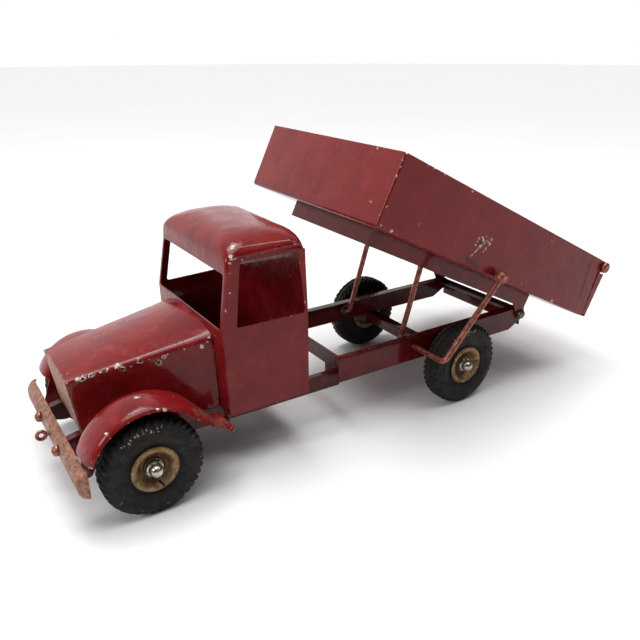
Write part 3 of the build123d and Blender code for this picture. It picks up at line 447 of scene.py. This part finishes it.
STEEL_ROD = metal("old_steel", light=(0.22, 0.20, 0.19), dull=(0.11, 0.10, 0.095),
                  stain=(0.035, 0.03, 0.028), rust=(0.11, 0.05, 0.03), rough=(0.35, 0.55), metallic=0.85,
                  seed=52.0, stained=0.4, rusty=0.35, edge=0.4)
# Painted shade: a darker copy of the red enamel for the underside of the bed.
RED_SUB_SHADED = paint("red_enamel_bed_under_shaded", chips=0.5, scuff=0.15, seed=88.0,
                red=(0.150, 0.0062, 0.0066), deep=(0.090, 0.0040, 0.0045))

LOOKS = {
    "hood": RED_HOOD, "cab_shell": RED_CAB, "cab_back": RED_CAB, "left_fender": RED_FENDER,
    "right_fender": RED_FENDER_FAR, "bed_tray": RED_BED, "bed_subframe": RED_SUB_SHADED, "tailgate": RED_BED,
    "left_rail": RED_FRAME_SHADED, "right_rail": RED_FRAME_SHADED, "front_frame": RED_UNDER_SHADED, "front_cross_member": RED_FRAME_SHADED,
    "rear_cross_member": RED_FRAME_SHADED, "rear_axle_housing": RED_UNDER_SHADED, "bed_saddle": RED_UNDER_SHADED,
    "left_step_bracket": RED_UNDER_SHADED, "right_step_bracket": RED_UNDER_SHADED, "front_axle_brackets": RED_UNDER_SHADED,
    "grille_panel": COPPER_BAR, "bumper": COPPER_BAR, "bumper_bolts": COPPER_ROD, "tow_eye": COPPER_ROD,
    "lift_rod": COPPER_ROD, "lever_knob": COPPER_ROD, "axle_caps": NICKEL_CAP, "gate_rod": COPPER_ROD,
    "hinge_rod": STEEL_ROD, "front_axle": STEEL_ROD, "rear_axle": STEEL_ROD, "axle_collars": STEEL_ROD,
    "lever_collars": STEEL_ROD, "bumper_nuts": STEEL_ROD,
}


# ---------------------------------------------------------------- CAD nodes
def dress(obj, material):
    """Gives a CAD node its material, joins its split corners and shades it smooth up to its folds."""
    mesh = obj.data
    mesh.materials.clear()
    mesh.materials.append(material)
    if mesh.has_custom_normals:
        with bpy.context.temp_override(object=obj, active_object=obj, selected_objects=[obj]):
            bpy.ops.mesh.customdata_custom_splitnormals_clear()
    mesh.polygons.foreach_set("use_smooth", [True] * len(mesh.polygons))
    weld = obj.modifiers.new("join_corners", "WELD")
    weld.merge_threshold = WELD_REACH
    split = obj.modifiers.new("keep_folds", "EDGE_SPLIT")
    split.split_angle = PANEL_FOLD


for node_name, node in NODES.items():
    if node_name.startswith("hub_"):
        dress(node, BRASS_DISC)
    elif not node_name.startswith("tyre_"):
        dress(node, LOOKS[node_name])


# ---------------------------------------------------------------- tyres
AROUND = 480
LUGS = 40
GROOVE_DEPTH = 1.25
WEAR_DEPTH = 0.10
# Section of one half of the tyre as (distance from the axle, distance from its middle plane).
HALF_PROFILE = [(14.6, 6.98), (16.2, 6.98), (17.6, 7.02), (18.4, 7.45), (19.0, 7.95), (20.2, 8.45),
                (21.5, 8.85), (23.0, 9.10), (23.8, 9.22), (24.1, 9.32), (24.6, 9.34), (24.9, 9.24),
                (26.2, 9.28), (27.6, 9.20), (28.8, 9.05), (29.5, 8.90), (30.3, 8.68), (31.2, 8.38),
                (32.0, 8.05), (32.7, 7.72), (33.3, 7.35), (33.9, 6.80), (34.35, 6.15), (34.65, 5.5),
                (34.85, 4.9), (34.95, 4.3), (34.95, 3.7), (34.95, 3.2), (34.75, 3.02), (34.32, 2.9),
                (34.28, 2.4), (34.3, 1.95), (34.75, 1.8), (34.95, 1.65), (34.95, 0.8)]


def smooth(value, low, high):
    """Smooth ramp from 0 at low to 1 at high, like the Graph's step."""
    t = min(1.0, max(0.0, (value - low) / (high - low)))
    return t * t * (3 - 2 * t)


def tyre_point(r, d, turn, phase, drift):
    """Profile point after the shoulder lugs are cut in; d is across the tyre, turn in radians."""
    side = 1 if d > 0 else -1
    depth = smooth(r + 0.55 * abs(d), 35.3, 37.6) * smooth(abs(d), 2.95, 3.7)
    skew = (35.0 - r) * 0.010 + (abs(d) - 4.0) * 0.012
    place = (turn + skew) * LUGS / (2 * math.pi) + (0.5 if side < 0 else 0.0)
    near = abs(place - math.floor(place) - 0.5)
    groove = smooth(near, 0.27, 0.17) * depth
    uneven = 0.85 + 0.3 * math.sin(3.1 * place + phase) * math.sin(1.3 * place + drift)
    cut = GROOVE_DEPTH * groove * uneven
    r2 = r - cut * (0.85 if r > 33 else 0.45)
    d2 = d - side * cut * (0.35 if r > 33.6 else 0.75)
    wear = 1 + math.sin(2 * turn + phase) * math.sin(5 * turn + drift)
    return r2 - WEAR_DEPTH * wear * smooth(r, 28, 34), d2


def build_tyre(name, body, seed, scuffs):
    """A moulded tyre standing in for the plain CAD one, with shoulder lugs and a tread channel."""
    low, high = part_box(name)
    centre = (low + high) / 2 / MM
    rng = random.Random(seed)
    phase, drift = rng.uniform(0, 6.28), rng.uniform(0, 6.28)
    profile = HALF_PROFILE + [(r, -d) for r, d in reversed(HALF_PROFILE)]
    verts, faces = [], []
    for i in range(AROUND):
        turn = 2 * math.pi * i / AROUND
        c, s = math.cos(turn), math.sin(turn)
        for r, d in profile:
            r2, d2 = tyre_point(r, d, turn, phase, drift)
            verts.append(((centre.x + r2 * c) * MM, (centre.y + d2) * MM, (centre.z + r2 * s) * MM))
    count = len(profile)
    for i in range(AROUND):
        j = (i + 1) % AROUND
        for k in range(count):
            m = (k + 1) % count
            faces.append((i * count + k, i * count + m, j * count + m, j * count + k))
    mesh = bpy.data.meshes.new(name + "_moulded")
    mesh.from_pydata(verts, [], faces)
    mesh.polygons.foreach_set("use_smooth", [True] * len(mesh.polygons))
    mesh.update()
    obj = bpy.data.objects.new(name + "_moulded", mesh)
    bpy.context.scene.collection.objects.link(obj)
    split = obj.modifiers.new("keep_folds", "EDGE_SPLIT")
    split.split_angle = TYRE_FOLD
    mesh.materials.append(rubber(name + "_rubber", centre, seed * 7.0, scuffs))
    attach(obj, body)
    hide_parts(name)


def arc_scuffs(centre, side, r, first, last, count, size, rng):
    """Short radial scuffs along the shoulder from one clock angle to another."""
    out = []
    for k in range(count):
        a = math.radians(first + (last - first) * k / (count - 1) + rng.uniform(-3.0, 3.0))
        reach = r + rng.uniform(-1.6, 1.8)
        for step in range(rng.choice((1, 2, 2, 3))):
            q = reach + step * 0.7
            out_by = side * (8.9 - 0.25 * max(0, q - 29))
            out.append((centre[0] + q * math.cos(a), centre[1] + out_by,
                        centre[2] + q * math.sin(a), size * rng.uniform(0.5, 1.0)))
    return out


scuff_rng = random.Random(8)
CORNERS = (("front_left", 1), ("front_right", -1), ("rear_left", 1), ("rear_right", -1))
for index, (corner, side_sign) in enumerate(CORNERS):
    tyre_name = "tyre_" + corner
    low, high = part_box(tyre_name)
    mid = (low + high) / 2 / MM
    marks = arc_scuffs(mid, side_sign, 28.8, 52, 104, 15, 0.8, scuff_rng)
    marks += arc_scuffs(mid, side_sign, 30.0, 150, 330, 6, 0.5, scuff_rng)
    build_tyre(tyre_name, "wheel_" + corner, index + 1, marks)


# ---------------------------------------------------------------- stage, light, camera
FLOOR_RADIUS = 8.0
FLOOR_CORNERS = 64
FLOOR_DROP = 0.0004  # keeps the floor just clear of the tyres


def floor_material():
    g = Graph("pale_floor")
    tone = g.noise(240.0, 3.0, 0.5)
    colour = g.mix(tone, (0.70, 0.70, 0.70), (0.73, 0.73, 0.725))
    rough = g.step(tone, 0.3, 0.7, (0.75, 0.85))
    return g.finish(colour, rough, 0.0, g.bump(g.noise(3.0), 0.02), 0.1)


floor_mesh = bpy.data.meshes.new("studio_floor")
corner_turns = [2 * math.pi * k / FLOOR_CORNERS for k in range(FLOOR_CORNERS)]
floor_mesh.from_pydata([(FLOOR_RADIUS * math.cos(a), FLOOR_RADIUS * math.sin(a), 0.0) for a in corner_turns],
                       [], [tuple(range(FLOOR_CORNERS))])
floor_mesh.materials.append(floor_material())
floor = bpy.data.objects.new("studio_floor", floor_mesh)
bpy.context.scene.collection.objects.link(floor)
floor.location.z = -FLOOR_DROP


def soft_light(name, place, aim, size, power):
    """A rectangular panel light at place, turned to aim, of size in metres and power in watts."""
    data = bpy.data.lights.new(name, "AREA")
    data.shape = "RECTANGLE"
    data.size, data.size_y = size
    data.energy = power
    obj = bpy.data.objects.new(name, data)
    obj.location = place
    obj.rotation_euler = (Vector(aim) - Vector(place)).to_track_quat("-Z", "Y").to_euler()
    bpy.context.scene.collection.objects.link(obj)


soft_light("overhead_panel", (0.15, -0.35, 1.5), (0.0, 0.0, 0.0), (0.6, 0.45), 6.5)
soft_light("front_panel", (1.9, 0.35, 1.15), (0.1, 0.0, 0.1), (0.7, 0.6), 14.0)
soft_light("side_strip", (-0.62, 0.52, 1.30), (0.0, 0.0, 0.1), (0.07, 0.9), 3.0)

sun_data = bpy.data.lights.new("even_top", "SUN")
sun_data.energy = 2.2
sun_data.angle = math.radians(45)
sun = bpy.data.objects.new("even_top", sun_data)
bpy.context.scene.collection.objects.link(sun)

# The room is bright towards -Y and overhead and dark towards +Y, so that the near side stays deep
# red. The camera itself sees plain white behind the truck.
world = bpy.data.worlds.new("soft_room")
bpy.context.scene.world = world
world.use_nodes = True
wt = world.node_tree
background = wt.nodes["Background"]
direction = wt.nodes.new("ShaderNodeTexCoord").outputs["Generated"]
axes = wt.nodes.new("ShaderNodeSeparateXYZ")
wt.links.new(direction, axes.inputs[0])


def world_range(source, low, high, to_low, to_high):
    """Smooth ramp of a direction axis to a brightness; to_low may be a socket."""
    n = wt.nodes.new("ShaderNodeMapRange")
    n.interpolation_type = "SMOOTHSTEP"
    wt.links.new(source, n.inputs[0])
    for socket, value in zip(list(n.inputs)[1:], (low, high, to_low, to_high)):
        if isinstance(value, bpy.types.NodeSocket):
            wt.links.new(value, socket)
        else:
            socket.default_value = value
    return n.outputs[0]


side_level = world_range(axes.outputs["Y"], -0.55, 0.25, 1.15, 0.01)
level = world_range(axes.outputs["Z"], 0.45, 0.98, side_level, 0.60)
background.inputs["Color"].default_value = (1.0, 1.0, 1.0, 1.0)
path = wt.nodes.new("ShaderNodeLightPath")
seen = wt.nodes.new("ShaderNodeMapRange")
wt.links.new(path.outputs["Is Camera Ray"], seen.inputs[0])
wt.links.new(level, seen.inputs[3])
seen.inputs[4].default_value = 1.0
wt.links.new(seen.outputs[0], background.inputs["Strength"])

# Camera as solved from the photograph. Roll is about the line of sight.
CAMERA_AT = Vector((0.29448, 0.435166, 0.290525))
CAMERA_YAW, CAMERA_PITCH, CAMERA_ROLL = math.radians(237.13), math.radians(23.28), math.radians(-0.20)
LENS_MM, SENSOR_MM = 37.71, 36.0
SHIFT_X, SHIFT_Y = -0.0008, 0.0086
CLIP_START = 0.01

level_reach = math.cos(CAMERA_PITCH)
ahead = Vector((math.cos(CAMERA_YAW) * level_reach, math.sin(CAMERA_YAW) * level_reach,
                -math.sin(CAMERA_PITCH)))
flat_right = Vector((math.sin(CAMERA_YAW), -math.cos(CAMERA_YAW), 0))
flat_up = flat_right.cross(ahead)
right = math.cos(CAMERA_ROLL) * flat_right + math.sin(CAMERA_ROLL) * flat_up
up = -math.sin(CAMERA_ROLL) * flat_right + math.cos(CAMERA_ROLL) * flat_up
camera_data = bpy.data.cameras.new("photo_view")
camera_data.sensor_width = SENSOR_MM
camera_data.lens = LENS_MM
camera_data.shift_x = SHIFT_X
camera_data.shift_y = SHIFT_Y
camera_data.clip_start = CLIP_START
camera = bpy.data.objects.new("photo_view", camera_data)
camera.matrix_world = Matrix(((right.x, up.x, -ahead.x, CAMERA_AT.x), (right.y, up.y, -ahead.y, CAMERA_AT.y),
                              (right.z, up.z, -ahead.z, CAMERA_AT.z), (0, 0, 0, 1)))
bpy.context.scene.collection.objects.link(camera)
bpy.context.scene.camera = camera
bpy.context.scene.view_settings.view_transform = "Standard"

bpy.context.view_layer.update()
